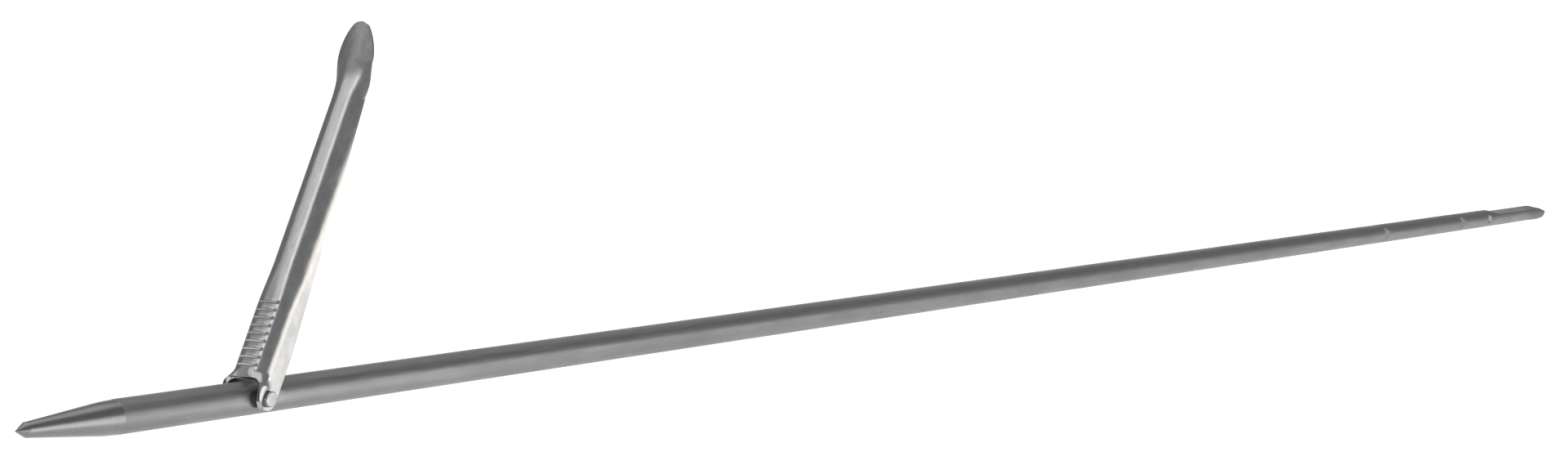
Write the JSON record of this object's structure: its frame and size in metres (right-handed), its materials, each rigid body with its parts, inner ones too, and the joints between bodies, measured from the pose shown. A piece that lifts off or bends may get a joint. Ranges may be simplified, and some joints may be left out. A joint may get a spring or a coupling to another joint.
{
  "type": "spear shaft with hinged barb",
  "caption": "Round steel shaft with a turned point, a pressed sheet barb hinged on a cross pin, side notches, and a drilled, flattened tail with a catch tooth.",
  "frame": {"origin": "middle of the line hole, on the shaft's axis", "axes": "+X along the shaft to its tail, +Z to the side that the barb opens to, and the band notches face -Y"},
  "size_m": [0.8, 0.011, 0.0739],
  "materials": {
    "satin_steel": "satin drawn bar, fine marks along its length",
    "polished_steel": "bright turned steel",
    "pressed_steel": "satin pressed sheet with bright cut edges"
  },
  "bodies": {
    "shaft": {"shaft": "satin_steel", "pivot_pin": "polished_steel"},
    "barb": {"barb": "pressed_steel"}
  },
  "joints": [
    {"name": "barb_pivot", "type": "hinge", "parent": "shaft", "child": "barb", "pos_m": [-0.677, 0, 0], "axis": [0, -1, 0], "range_deg": [-62.3, 0]}
  ]
}
